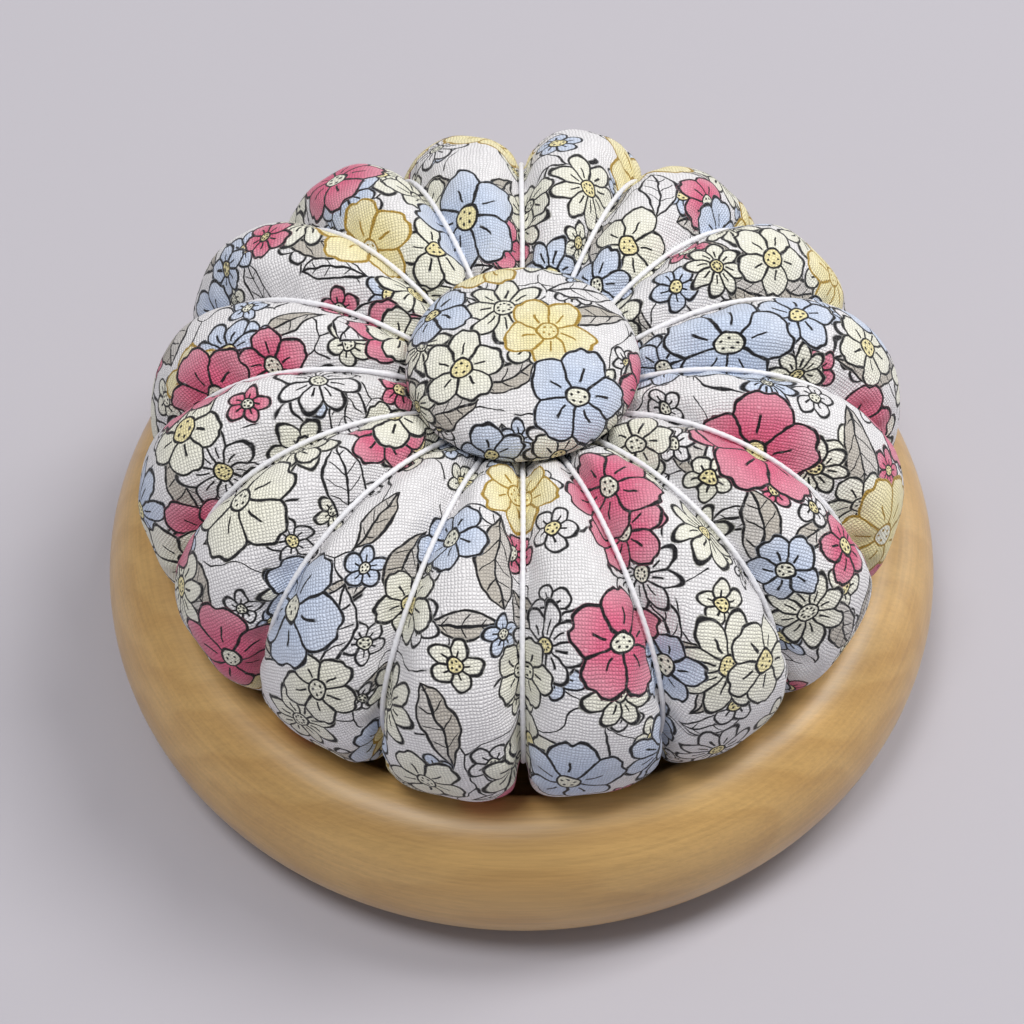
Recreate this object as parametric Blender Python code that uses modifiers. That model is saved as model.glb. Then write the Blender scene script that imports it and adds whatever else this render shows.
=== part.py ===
"""A pumpkin-shaped pin cushion: a stuffed cotton cover drawn into lobes by loops of
white thread, with a covered button on top, glued into a turned wooden dish.

Metres, +Z up. The origin is the centre of the flat foot of the wooden base, and
the axis of turning is Z."""

import math

import bmesh
import bpy

# Driving dimensions: cushion
LOBES = 16
CUSHION_RADIUS = 0.0352
CUSHION_HEIGHT = 0.0276
LOBE_RISE = 0.0038
LOBE_FADE = 1.9
LOBE_ROUNDNESS = 0.6
COVER_WALL = 0.0004
COVER_EDGE_ANGLE = math.radians(25.0)

# Driving dimensions: dividing thread
THREAD_DIAMETER = 0.0006
STRAND_GAP = 0.00025
GROOVE_CLEARANCE = 0.00015
KNOT_SIZE = 0.00075

# Driving dimensions: covered button
BUTTON_RADIUS = 0.0106
BUTTON_CROWN = 0.0046
BUTTON_BELLY = 0.0026
DOME_WALL = 0.0005
DOME_LIP_ANGLE = math.radians(-38.0)
BACK_RADIUS = 0.0060
BACK_THICKNESS = 0.0009
BACK_EDGE_ROUND = 0.0003
EYE_WIRE = 0.0009
EYE_WIDTH = 0.0034
EYE_DROP = 0.0026

# Driving dimensions: wooden base and the glue in it
BASE_HEIGHT = 0.0160
WIDEST_HEIGHT = 0.0075
RIM_WIDTH = 0.0064
LIP_ROUND = 0.0024
LIP_DROP = 0.0016
FOOT_ROUND = 0.0070
DISH_GAP = 0.0004
FLOOR_THICKNESS = 0.0096
GLUE_THICKNESS = 0.0005
GLUE_SPREAD = 0.0015

# Clearance between pieces that touch
FIT = 0.0003

# Facets
COVER_ROWS = 14
FILLING_ROWS = 8
LOBE_COLUMNS = 4
TURN_STEPS = 48
BUTTON_STEPS = 24
WIRE_ROUNDNESS = 1
WALL_STEPS = 7
LIP_STEPS = 3
ROUND_STEPS = 6
CROWN_STEPS = 8
DOME_STEPS = 6
EDGE_STEPS = 3
BEND_STEPS = 8
KNOT_STEPS = 30
DRILL_SIDES = 12
SHARP_ANGLE = math.radians(40.0)

# Sizes worked out from the driving dimensions
THREAD_RADIUS = THREAD_DIAMETER / 2
THREAD_SEAT = THREAD_RADIUS + FIT
GROOVE_HALF = THREAD_RADIUS + GROOVE_CLEARANCE
STRAND_RING = LOBES * (THREAD_DIAMETER + STRAND_GAP) / math.tau
TUNNEL_RADIUS = STRAND_RING + THREAD_SEAT
GROOVE_OUTER = CUSHION_RADIUS - LOBE_RISE
SECTION_CENTRE = (GROOVE_OUTER + TUNNEL_RADIUS) / 2
SECTION_HALF_WIDTH = (GROOVE_OUTER - TUNNEL_RADIUS) / 2
RISE_AT_TOP = LOBE_RISE * math.sin(math.pi / 4) ** LOBE_FADE
SECTION_HALF_HEIGHT = CUSHION_HEIGHT / 2 - RISE_AT_TOP
CUSHION_BOTTOM = FLOOR_THICKNESS + FIT + GLUE_THICKNESS + FIT
CUSHION_MIDDLE = CUSHION_BOTTOM + CUSHION_HEIGHT / 2
GLUE_RADIUS = SECTION_CENTRE + GLUE_SPREAD
FLOOR_RADIUS = GLUE_RADIUS + FIT
EYE_RADIUS = EYE_WIRE / 2
TIE_HALF = EYE_RADIUS + THREAD_RADIUS + FIT

# Colours read from the photograph, as linear RGB
COTTON = (0.80, 0.79, 0.81)
WHITE_THREAD = (0.86, 0.86, 0.88)
WADDING = (0.88, 0.87, 0.84)
BEECH = (0.55, 0.36, 0.15)
GLUE = (0.75, 0.68, 0.50)
STEEL = (0.56, 0.57, 0.58)


def clear_scene():
    """Remove whatever the scene holds."""
    for obj in list(bpy.data.objects):
        bpy.data.objects.remove(obj, do_unlink=True)


def new_collection(name):
    """A collection linked to the scene."""
    collection = bpy.data.collections.new(name)
    bpy.context.scene.collection.children.link(collection)
    return collection


def new_material(name, colour, roughness, metallic=0.0):
    """A Principled material of one colour."""
    material = bpy.data.materials.new(name)
    material.use_nodes = True
    shader = material.node_tree.nodes["Principled BSDF"]
    shader.inputs["Base Color"].default_value = (*colour, 1.0)
    shader.inputs["Roughness"].default_value = roughness
    shader.inputs["Metallic"].default_value = metallic
    material.diffuse_color = (*colour, 1.0)
    return material


def new_empty(name, collection, height=0.0):
    """An empty on the axis, which carries one sub-assembly."""
    empty = bpy.data.objects.new(name, None)
    empty.location = (0.0, 0.0, height)
    collection.objects.link(empty)
    return empty


def place(name, data, material, collection, parent, height=0.0, turn=0.0):
    """An object of that data under its parent, raised and turned about Z."""
    obj = bpy.data.objects.new(name, data)
    obj.parent = parent
    obj.location = (0.0, 0.0, height)
    obj.rotation_euler = (0.0, 0.0, turn)
    if not data.materials:
        data.materials.append(material)
    collection.objects.link(obj)
    return obj


def smooth(mesh):
    """Smooth shading, with edges over SHARP_ANGLE kept crisp."""
    mesh.shade_smooth()
    mesh.set_sharp_from_angle(angle=SHARP_ANGLE)


def ellipse_arc(centre, half_width, half_height, start, end, count):
    """Points (radius, height) on an ellipse from one angle to another."""
    points = []
    for step in range(count + 1):
        angle = start + (end - start) * step / count
        points.append((centre[0] + half_width * math.cos(angle),
                       centre[1] + half_height * math.sin(angle)))
    return points


def turned(name, profile, material, collection, parent, steps, height=0.0):
    """A profile of (radius, height) points, top to bottom, turned about Z."""
    mesh = bpy.data.meshes.new(name)
    edges = [(i, i + 1) for i in range(len(profile) - 1)]
    mesh.from_pydata([(r, 0.0, z) for r, z in profile], edges, [])
    obj = place(name, mesh, material, collection, parent, height)
    screw = obj.modifiers.new("turn", "SCREW")
    screw.steps = steps
    screw.render_steps = steps
    screw.use_merge_vertices = True
    screw.merge_threshold = 0.00001
    screw.use_smooth_shade = True
    return obj


def add_wall(obj, thickness):
    """Give an open surface a wall on its inner side."""
    wall = obj.modifiers.new("wall", "SOLIDIFY")
    wall.thickness = thickness
    wall.offset = -1.0
    wall.use_even_offset = False
    return obj


def wire_curve(name, points, radius, cyclic):
    """A round wire or thread along straight runs between points."""
    curve = bpy.data.curves.new(name, "CURVE")
    curve.dimensions = "3D"
    curve.bevel_depth = radius
    curve.bevel_resolution = WIRE_ROUNDNESS
    curve.use_fill_caps = not cyclic
    spline = curve.splines.new("POLY")
    spline.points.add(len(points) - 1)
    for point, spot in zip(spline.points, points):
        point.co = (*spot, 1.0)
    spline.use_cyclic_u = cyclic
    return curve


def lobe_rise(section_angle):
    """How far a lobe's crest stands over the grooves at that angle of the section.

    The angle runs from 0 in the tunnel, over the top at a quarter turn, to the
    outermost point at half a turn, and back underneath."""
    return LOBE_RISE * abs(math.sin(section_angle / 2)) ** LOBE_FADE


def section_point(section_angle, swell=0.0):
    """(radius, height) on the cushion's groove ellipse, pushed outwards by swell."""
    radius = SECTION_CENTRE - (SECTION_HALF_WIDTH + swell) * math.cos(section_angle)
    height = CUSHION_MIDDLE + (SECTION_HALF_HEIGHT + swell) * math.sin(section_angle)
    return radius, height


def lobed_point(section_angle, lobe, across, inset):
    """A point on lobe number lobe, at across from -1 to 1 between its two grooves."""
    swell = lobe_rise(section_angle) * (1 - across * across) ** LOBE_ROUNDNESS
    radius, height = section_point(section_angle, swell - inset)
    groove_radius = section_point(section_angle, -inset)[0]
    half_pitch = math.pi / LOBES
    half_lobe = half_pitch - min((GROOVE_HALF + inset) / groove_radius, half_pitch * 0.9)
    turn = (2 * lobe + 1) * half_pitch + across * half_lobe
    return radius * math.cos(turn), radius * math.sin(turn), height


def lobed_surface(name, start, end, rows, inset=0.0):
    """The lobed ring between two section angles, open unless it closes on itself."""
    across = [math.sin(math.pi * (i / LOBE_COLUMNS - 0.5)) for i in range(LOBE_COLUMNS + 1)]
    columns = [(lobe, share) for lobe in range(LOBES) for share in across]
    closes = end - start > math.tau - 1e-6
    shape = bmesh.new()
    rings = []
    for row in range(rows if closes else rows + 1):
        angle = start + (end - start) * row / rows
        rings.append([shape.verts.new(lobed_point(angle, lobe, share, inset))
                      for lobe, share in columns])
    ring_pairs = list(zip(rings, rings[1:]))
    if closes:
        ring_pairs.append((rings[-1], rings[0]))
    for near, far in ring_pairs:
        for i in range(len(columns)):
            j = (i + 1) % len(columns)
            shape.faces.new((near[i], far[i], far[j], near[j]))
    mesh = bpy.data.meshes.new(name)
    shape.to_mesh(mesh)
    shape.free()
    smooth(mesh)
    return mesh


def crest_radius_at(height):
    """Largest radius of the lobes at that height or below."""
    reach = [section_point(angle, lobe_rise(angle))
             for angle in (math.pi + math.radians(d) for d in range(0, 91))]
    return max([r for r, z in reach if z <= height], default=SECTION_CENTRE)


def dish_radius_at(height):
    """Radius of the dish's wall at that height: an ellipse outside the lobes."""
    middle = max(CUSHION_MIDDLE, height)
    share = (middle - height) / (middle - FLOOR_THICKNESS)
    reach = CUSHION_RADIUS + DISH_GAP - FLOOR_RADIUS
    return FLOOR_RADIUS + reach * math.sqrt(1 - share * share)


def dish_mouth(lip_foot):
    """Radius of the dish's mouth, which keeps DISH_GAP to the lobes all the way up the lip."""
    lip = ellipse_arc((LIP_ROUND, lip_foot), LIP_ROUND, LIP_DROP, math.pi, math.pi / 2, LIP_STEPS)
    needs = [crest_radius_at(height) + DISH_GAP - offset for offset, height in lip]
    return max(needs + [dish_radius_at(lip_foot)])


def make_base(material, collection, parent):
    """The turned dish: flat floor, curved wall, rounded lip, full round outer edge."""
    lip_foot = BASE_HEIGHT - LIP_DROP
    lip_crest = dish_mouth(lip_foot) + LIP_ROUND
    base_radius = lip_crest + RIM_WIDTH
    foot_radius = base_radius - FOOT_ROUND
    profile = [(0.0, FLOOR_THICKNESS)]
    for step in range(WALL_STEPS):
        height = FLOOR_THICKNESS + (lip_foot - FLOOR_THICKNESS) * (step / WALL_STEPS) ** 2
        profile.append((dish_radius_at(height), height))
    profile += ellipse_arc((lip_crest, lip_foot), LIP_ROUND, LIP_DROP, math.pi, math.pi / 2,
                           LIP_STEPS)
    profile += ellipse_arc((lip_crest, WIDEST_HEIGHT), RIM_WIDTH, BASE_HEIGHT - WIDEST_HEIGHT,
                           math.pi / 2, 0.0, ROUND_STEPS)[1:]
    profile += ellipse_arc((foot_radius, WIDEST_HEIGHT), FOOT_ROUND, WIDEST_HEIGHT,
                           0.0, -math.pi / 2, ROUND_STEPS)[1:]
    profile.append((0.0, 0.0))
    return turned("wooden_base", profile, material, collection, parent, TURN_STEPS)


def make_glue(material, collection, parent):
    """The pad of glue on the dish's floor, with a rounded edge."""
    bottom = FLOOR_THICKNESS + FIT
    half = GLUE_THICKNESS / 2
    profile = [(0.0, bottom + GLUE_THICKNESS)]
    profile += ellipse_arc((GLUE_RADIUS - half, bottom + half), half, half,
                           math.pi / 2, -math.pi / 2, EDGE_STEPS)
    profile.append((0.0, bottom))
    return turned("glue_pad", profile, material, collection, parent, TURN_STEPS)


def make_cushion(cotton, wadding, collection, parent):
    """The cotton cover, open where the threads dive through, and the wadding in it."""
    cover_mesh = lobed_surface("cushion_cover", COVER_EDGE_ANGLE,
                               math.tau - COVER_EDGE_ANGLE, COVER_ROWS)
    cover = place("cushion_cover", cover_mesh, cotton, collection, parent)
    add_wall(cover, COVER_WALL)
    filling_mesh = lobed_surface("cushion_filling", 0.0, math.tau, FILLING_ROWS,
                                 inset=COVER_WALL + FIT)
    place("cushion_filling", filling_mesh, wadding, collection, parent)


def thread_angles():
    """Section angles of a thread loop: the cover's own rows, and one in the tunnel."""
    span = math.tau - 2 * COVER_EDGE_ANGLE
    return [0.0] + [COVER_EDGE_ANGLE + span * row / COVER_ROWS for row in range(COVER_ROWS + 1)]


def make_threads(material, collection, parent):
    """One closed loop of thread for each groove, all through the tunnel."""
    points = [section_point(angle, THREAD_SEAT) for angle in thread_angles()]
    curve = wire_curve("thread_loop", [(r, 0.0, z) for r, z in points], THREAD_RADIUS, True)
    for groove in range(LOBES):
        place(f"thread_loop_{groove + 1:02d}", curve, material, collection, parent,
              turn=groove * math.tau / LOBES)


def belly_depth(radius):
    """How far the button's underside lies below its widest ring at that radius."""
    return BUTTON_BELLY * math.sqrt(max(0.0, 1 - (radius / BUTTON_RADIUS) ** 2))


def button_seat():
    """Height of the button's widest ring when its belly rests on threads and lobes."""
    heights = []
    for degrees in range(20, 100):
        angle = math.radians(degrees)
        for swell in (THREAD_SEAT + THREAD_RADIUS, lobe_rise(angle)):
            radius, height = section_point(angle, swell)
            if radius < BUTTON_RADIUS:
                heights.append(height + FIT + belly_depth(radius))
    return max(heights)


def button_profile(inset, lower_angle, count):
    """The button's outline from its top to lower_angle, drawn in by inset."""
    crown = ellipse_arc((0.0, 0.0), BUTTON_RADIUS - inset, BUTTON_CROWN - inset,
                        math.pi / 2, 0.0, count)
    belly = ellipse_arc((0.0, 0.0), BUTTON_RADIUS - inset, BUTTON_BELLY - inset,
                        0.0, lower_angle, count // 2)
    return [(0.0, BUTTON_CROWN - inset)] + crown[1:] + belly[1:]


def make_button(cotton, steel, collection, parent):
    """A domed button: cloth, stamped dome, back plate and wire eye."""
    opening = BACK_RADIUS + FIT
    cloth_edge = -math.acos(opening / BUTTON_RADIUS)
    cover = turned("button_cover", button_profile(0.0, cloth_edge, CROWN_STEPS), cotton,
                   collection, parent, BUTTON_STEPS)
    add_wall(cover, COVER_WALL)
    dome = turned("button_dome", button_profile(COVER_WALL + FIT, DOME_LIP_ANGLE, DOME_STEPS), steel,
                  collection, parent, BUTTON_STEPS)
    add_wall(dome, DOME_WALL)
    return make_back(steel, collection, parent, -belly_depth(opening))


def make_back(steel, collection, parent, bottom):
    """The back plate in the cloth's opening, drilled for the legs of the wire eye."""
    top = bottom + BACK_THICKNESS
    edge = BACK_RADIUS - BACK_EDGE_ROUND
    profile = [(0.0, top)]
    profile += ellipse_arc((edge, top - BACK_EDGE_ROUND), BACK_EDGE_ROUND, BACK_EDGE_ROUND,
                           math.pi / 2, 0.0, EDGE_STEPS)
    profile += ellipse_arc((edge, bottom + BACK_EDGE_ROUND), BACK_EDGE_ROUND, BACK_EDGE_ROUND,
                           0.0, -math.pi / 2, EDGE_STEPS)
    profile.append((0.0, bottom))
    back = turned("button_back", profile, steel, collection, parent, BUTTON_STEPS)
    cutters = new_collection("cutters")
    for side in (-1, 1):
        drill_leg_hole(back, cutters, parent, side * EYE_WIDTH / 2, bottom)
    leg_top = top + EYE_RADIUS
    eye = eye_path(bottom, leg_top)
    place("button_eye", wire_curve("button_eye", eye, EYE_RADIUS, False), steel,
          collection, parent)
    return bottom - EYE_DROP


def drill_leg_hole(back, cutters, parent, offset, bottom):
    """Cut the hole for one leg of the eye through the back plate."""
    bpy.ops.mesh.primitive_cylinder_add(vertices=DRILL_SIDES, radius=EYE_RADIUS + FIT,
                                        depth=BACK_THICKNESS * 3)
    drill = bpy.context.object
    drill.name = "eye_leg_drill"
    for owner in list(drill.users_collection):
        owner.objects.unlink(drill)
    cutters.objects.link(drill)
    drill.parent = parent
    drill.location = (offset, 0.0, bottom + BACK_THICKNESS / 2)
    drill.hide_render = True
    drill.display_type = "WIRE"
    cut = back.modifiers.new("eye_leg_hole", "BOOLEAN")
    cut.operation = "DIFFERENCE"
    cut.object = drill


def eye_path(bottom, leg_top):
    """The wire eye: two legs through the back, joined by a half round below it."""
    half = EYE_WIDTH / 2
    bend = ellipse_arc((0.0, bottom - EYE_DROP + half), half, half, math.pi, math.tau, BEND_STEPS)
    path = [(-half, leg_top)] + bend + [(half, leg_top)]
    return [(x, 0.0, z) for x, z in path]


def knot_height():
    """Height at which a knot too big for the tunnel stops against the strands."""
    reach = 3 * KNOT_SIZE + THREAD_RADIUS
    angle = 0.0
    while True:
        radius, height = section_point(-angle, THREAD_SEAT)
        if radius - THREAD_RADIUS - FIT >= reach:
            return height - KNOT_SIZE - THREAD_RADIUS
        angle += math.radians(1.0)


def make_tie(thread, collection, parent, eye_bottom):
    """The last pass of thread, up through the tunnel, over the eye and down again,
    and the overhand knot that holds it."""
    knot = knot_height()
    knot_points = []
    for step in range(KNOT_STEPS):
        t = math.tau * step / KNOT_STEPS
        knot_points.append((KNOT_SIZE * (math.sin(t) + 2 * math.sin(2 * t)),
                            KNOT_SIZE * (math.cos(t) - 2 * math.cos(2 * t)),
                            -KNOT_SIZE * math.sin(3 * t)))
    knot_curve = wire_curve("tie_knot", knot_points, THREAD_RADIUS, True)
    place("tie_knot", knot_curve, thread, collection, parent, height=knot)
    leg_foot = knot + KNOT_SIZE + THREAD_RADIUS + FIT
    arch = ellipse_arc((0.0, eye_bottom), TIE_HALF, TIE_HALF, math.pi, 0.0, BEND_STEPS)
    path = [(-TIE_HALF, leg_foot)] + arch + [(TIE_HALF, leg_foot)]
    tie_curve = wire_curve("button_tie", [(0.0, y, z) for y, z in path], THREAD_RADIUS, False)
    place("button_tie", tie_curve, thread, collection, parent)


def build():
    """Make every piece of the pin cushion."""
    clear_scene()
    collection = new_collection("pin_cushion")
    cotton = new_material("printed_cotton", COTTON, 0.85)
    thread = new_material("white_thread", WHITE_THREAD, 0.6)
    wadding = new_material("polyester_wadding", WADDING, 0.95)
    wood = new_material("turned_beech", BEECH, 0.45)
    glue = new_material("hot_glue", GLUE, 0.4)
    steel = new_material("button_steel", STEEL, 0.35, 1.0)
    whole = new_empty("pin_cushion_frame", collection)
    seat = button_seat()
    button = new_empty("button_frame", collection, seat)
    button.parent = whole
    make_base(wood, collection, whole)
    make_glue(glue, collection, whole)
    make_cushion(cotton, wadding, collection, whole)
    make_threads(thread, collection, whole)
    eye_bottom = make_button(cotton, steel, collection, button)
    make_tie(thread, collection, whole, seat + eye_bottom)


build()
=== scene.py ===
"""Looks of the pumpkin pin cushion: printed cotton, white thread, a covered button and
a turned wooden dish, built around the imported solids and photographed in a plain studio.

Metres, +Z up. Cloth patterns are worked out in millimetres on the cloth itself.
"""

import logging
import math
from dataclasses import dataclass, field, replace
from enum import Enum
from functools import partial, reduce
from typing import ClassVar

import bpy
import numpy as np
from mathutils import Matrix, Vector


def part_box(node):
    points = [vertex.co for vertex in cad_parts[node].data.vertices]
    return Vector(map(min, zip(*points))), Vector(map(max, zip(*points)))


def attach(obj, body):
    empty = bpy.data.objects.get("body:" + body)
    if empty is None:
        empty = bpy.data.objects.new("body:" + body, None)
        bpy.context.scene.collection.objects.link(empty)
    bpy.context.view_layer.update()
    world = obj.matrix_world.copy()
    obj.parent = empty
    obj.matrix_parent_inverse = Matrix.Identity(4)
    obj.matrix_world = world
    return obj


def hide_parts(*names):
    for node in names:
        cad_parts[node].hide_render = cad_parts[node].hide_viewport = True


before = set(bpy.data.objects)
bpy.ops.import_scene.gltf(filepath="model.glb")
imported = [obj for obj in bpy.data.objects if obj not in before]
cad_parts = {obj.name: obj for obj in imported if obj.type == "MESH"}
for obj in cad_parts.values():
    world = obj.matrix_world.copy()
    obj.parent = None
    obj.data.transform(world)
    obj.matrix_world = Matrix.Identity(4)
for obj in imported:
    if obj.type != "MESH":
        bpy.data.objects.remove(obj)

LOG = logging.getLogger("pin_cushion")
BODY = "root"
MM = 0.001
IMAGE_SIDE = 1024
TAU = math.tau
TINY = 1e-12
ORIGIN = (0.0, 0.0, 0.0)
MIDDLE = (0.5, 0.5, 0.5)

Socket = bpy.types.NodeSocket
Sockets = dict[str, Socket]
Colour = tuple[float, float, float]
Point = tuple[float, float, float]
Span = tuple[float, float]
Waves = tuple[tuple[float, float, float], ...]
Values = dict[int | str, object]
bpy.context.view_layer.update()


class Kind(Enum):
    """Kinds of socket that a node group can have."""

    VALUE = "NodeSocketFloat"
    POINT = "NodeSocketVector"
    COLOUR = "NodeSocketColor"


class Coordinates(Enum):
    """What a pattern follows: the place in the object, or the flat cloth or thread."""

    PLACE = "Object"
    FLAT = "UV"


class Ink(Enum):
    """Colours of the cloth's print, as linear RGB."""

    GROUND = (0.87, 0.855, 0.865)
    LINE = (0.010, 0.010, 0.012)
    OCHRE_LINE = (0.42, 0.26, 0.035)
    PINK = (0.74, 0.14, 0.25)
    BLUE = (0.60, 0.69, 0.86)
    CREAM = (0.90, 0.89, 0.75)
    YELLOW = (0.93, 0.83, 0.45)
    STONE = (0.54, 0.50, 0.44)


def srgb(red: int, green: int, blue: int) -> Colour:
    """Turn screen levels from 0 to 255 into linear RGB by the sRGB curve.

    Args:
        red: Red level.
        green: Green level.
        blue: Blue level.

    Returns:
        The linear colour.
    """
    levels = np.array([red, green, blue]) / 255.0
    linear = np.where(levels <= 0.04045, levels / 12.92, ((levels + 0.055) / 1.055) ** 2.4)
    return tuple(float(x) for x in linear)


class Board:
    """A node tree that is wired by calls, most of which give back a socket."""

    def __init__(self, tree: bpy.types.NodeTree) -> None:
        """Keep the tree to be wired."""
        self.tree = tree

    def put(self, target: Socket, value: object) -> None:
        """Link a socket to an input, or set the input's own value.

        Args:
            target: The input.
            value: A socket, a number, a point or a colour.
        """
        if isinstance(value, bpy.types.NodeSocket):
            self.tree.links.new(value, target)
        elif isinstance(value, Ink):
            target.default_value = (*value.value, 1.0)
        elif target.type == "RGBA" and len(value) == 3:
            target.default_value = (*value, 1.0)
        else:
            target.default_value = value

    def feed(self, node: bpy.types.Node, values: Values) -> None:
        """Put values into a node's inputs, which are named or numbered."""
        for key, value in values.items():
            self.put(node.inputs[key], value)

    def add(self, kind: str, values: Values, **settings: object) -> bpy.types.Node:
        """Add a node, set its properties and feed its inputs.

        Args:
            kind: Node type, without its ShaderNode prefix.
            values: Values by the input's name or number.
            **settings: Properties of the node.

        Returns:
            The new node.
        """
        node = self.tree.nodes.new("ShaderNode" + kind)
        for name, value in settings.items():
            setattr(node, name, value)
        self.feed(node, values)
        return node

    def math(self, operation: str, *values: object) -> Socket:
        """One number, worked out from up to three."""
        return self.add("Math", dict(enumerate(values)), operation=operation).outputs[0]

    def vector(self, operation: str, *values: object) -> Socket:
        """One vector, worked out from two."""
        return self.add("VectorMath", dict(enumerate(values)), operation=operation).outputs[0]

    def scale(self, vector: Socket, number: object) -> Socket:
        """A vector times a number."""
        return self.add("VectorMath", {0: vector, 3: number}, operation="SCALE").outputs[0]

    def length(self, x: object, y: object) -> Socket:
        """Length of a flat vector."""
        return self.add("VectorMath", {0: self.join(x, y)}, operation="LENGTH").outputs[1]

    def split(self, vector: Socket) -> tuple[Socket, ...]:
        """The x, y and z of a vector."""
        return tuple(self.add("SeparateXYZ", {0: vector}).outputs)

    def join(self, x: object, y: object, z: object = 0.0) -> Socket:
        """The vector of three numbers."""
        return self.add("CombineXYZ", {0: x, 1: y, 2: z}).outputs[0]

    def mix(self, share: object, first: object, second: object, blend: str = "MIX") -> Socket:
        """The second colour laid over the first by a share; blend says how they meet."""
        values = {0: share, 6: first, 7: second}
        return self.add("Mix", values, data_type="RGBA", blend_type=blend).outputs[2]

    def blend(self, share: object, first: object, second: object) -> Socket:
        """The number that lies a share of the way from the first to the second."""
        return self.add("Mix", {0: share, 2: first, 3: second}, data_type="FLOAT").outputs[0]

    def level(self, share: Socket, low: float, high: float) -> Socket:
        """The number that lies a share of the way from low to high, or beyond them."""
        return self.math("MULTIPLY_ADD", share, high - low, low)

    def span(self, value: object, low: object, high: object) -> Socket:
        """Share of the way from low to high, held between 0 and 1, with soft ends."""
        values = dict(enumerate((value, low, high, 0.0, 1.0)))
        return self.add("MapRange", values, interpolation_type="SMOOTHSTEP").outputs[0]

    def span_in(self, unit: Socket, value: Socket, low: float, high: float) -> Socket:
        """Share of the way from low to high, both counted in a unit."""
        return self.span(value, self.all(unit, low), self.all(unit, high))

    def noise(self, point: object, scale: object, detail: float = 2.0, rough: float = 0.5) -> Socket:
        """Cloudy noise from 0 to 1, with so many clouds to a unit and so many finer layers."""
        values = {"Vector": point, "Scale": scale, "Detail": detail, "Roughness": rough}
        return self.add("TexNoise", values).outputs[0]

    def sway(self, point: Socket, scale: float, reach: float, detail: float = 2.0) -> Socket:
        """A point that cloudy noise pushes aside.

        Args:
            point: Where.
            scale: How many clouds to a unit.
            reach: How far apart the furthest pushes are.
            detail: How many finer layers the noise has.

        Returns:
            The moved point.
        """
        noise = self.add("TexNoise", {"Vector": point, "Scale": scale, "Detail": detail})
        push = self.vector("SUBTRACT", noise.outputs[1], MIDDLE)
        return self.vector("ADD", point, self.scale(push, reach))

    def cells(self, feature: str, point: Socket, jitter: object = 1.0) -> bpy.types.Node:
        """A node of flat cells, one to a square unit, that stray from a grid by the jitter."""
        values = {"Vector": point, "Scale": 1.0, "Randomness": jitter}
        return self.add("TexVoronoi", values, voronoi_dimensions="2D", feature=feature)

    def any(self, *masks: Socket) -> Socket:
        """The largest of several masks."""
        return reduce(partial(self.math, "MAXIMUM"), masks)

    def all(self, *masks: object) -> Socket:
        """The product of several masks or numbers."""
        return reduce(partial(self.math, "MULTIPLY"), masks)

    def invert(self, mask: Socket) -> Socket:
        """One less the mask."""
        return self.math("SUBTRACT", 1.0, mask)


class NodeGroup:
    """A shader node group that is built once and placed in many materials."""

    name = "group"
    inputs: dict[str, float | Point] = {}
    outputs: dict[str, Kind] = {}

    def wire(self, board: Board, given: Sockets) -> Sockets:
        """Wire the group from its inputs and give its outputs back by name."""
        raise NotImplementedError

    def tree(self) -> bpy.types.NodeTree:
        """The group's node tree, made at its first use.

        Returns:
            The shared node tree.
        """
        if self.name in bpy.data.node_groups:
            return bpy.data.node_groups[self.name]
        tree = bpy.data.node_groups.new(self.name, "ShaderNodeTree")
        for name, value in self.inputs.items():
            kind = Kind.POINT if isinstance(value, tuple) else Kind.VALUE
            socket = tree.interface.new_socket(name, in_out="INPUT", socket_type=kind.value)
            socket.default_value = value
        for name, kind in self.outputs.items():
            tree.interface.new_socket(name, in_out="OUTPUT", socket_type=kind.value)
        board = Board(tree)
        entry = tree.nodes.new("NodeGroupInput")
        leave = tree.nodes.new("NodeGroupOutput")
        board.feed(leave, self.wire(board, {name: entry.outputs[name] for name in self.inputs}))
        return tree

    def place(self, board: Board, **values: object) -> Sockets:
        """Place the group in a tree, feed its inputs and give its outputs back by name."""
        node = board.add("Group", values, node_tree=self.tree())
        return {name: node.outputs[name] for name in self.outputs}


class Weave(NodeGroup):
    """Plain weave: warp and weft cross over and under at every thread.

    Each thread is a half round, and it is high where it goes over and low where it goes
    under. Over and under change like a chequerboard."""

    name = "plain_weave"
    inputs = {"Point": ORIGIN, "Pitch": 0.29}
    outputs = {"Height": Kind.VALUE, "Shade": Kind.VALUE}
    wobble_scale = 0.7
    wobble_reach = 0.5
    flatness = 0.6
    slub_scale = 7.3
    slub_stretch = 0.05

    def wire(self, board: Board, given: Sockets) -> Sockets:
        """Height of the cloth from 0 to 1, and a slub shade for each thread.

        Args:
            board: The group's tree.
            given: The group's inputs by name.

        Returns:
            The group's outputs by name.
        """
        point = board.sway(given["Point"], self.wobble_scale, self.wobble_reach)
        count = board.scale(point, board.math("DIVIDE", 1.0, given["Pitch"]))
        u, v, _ = board.split(count)
        thread_u, thread_v = (board.math("FLOOR", place) for place in (u, v))
        parity = board.math("FLOORED_MODULO", board.math("ADD", thread_u, thread_v), 2.0)
        hump_u, hump_v = (board.math("ABSOLUTE", board.math("SINE", board.all(place, math.pi)))
                          for place in (u, v))
        over = board.all(board.math("POWER", hump_u, self.flatness), hump_v)
        under = board.all(board.math("POWER", hump_v, self.flatness), hump_u)
        slub_u = board.noise(board.join(thread_u, board.all(v, self.slub_stretch)), self.slub_scale)
        slub_v = board.noise(board.join(board.all(u, self.slub_stretch), thread_v), self.slub_scale)
        return {"Height": board.blend(parity, over, under),
                "Shade": board.blend(parity, slub_u, slub_v)}


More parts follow.
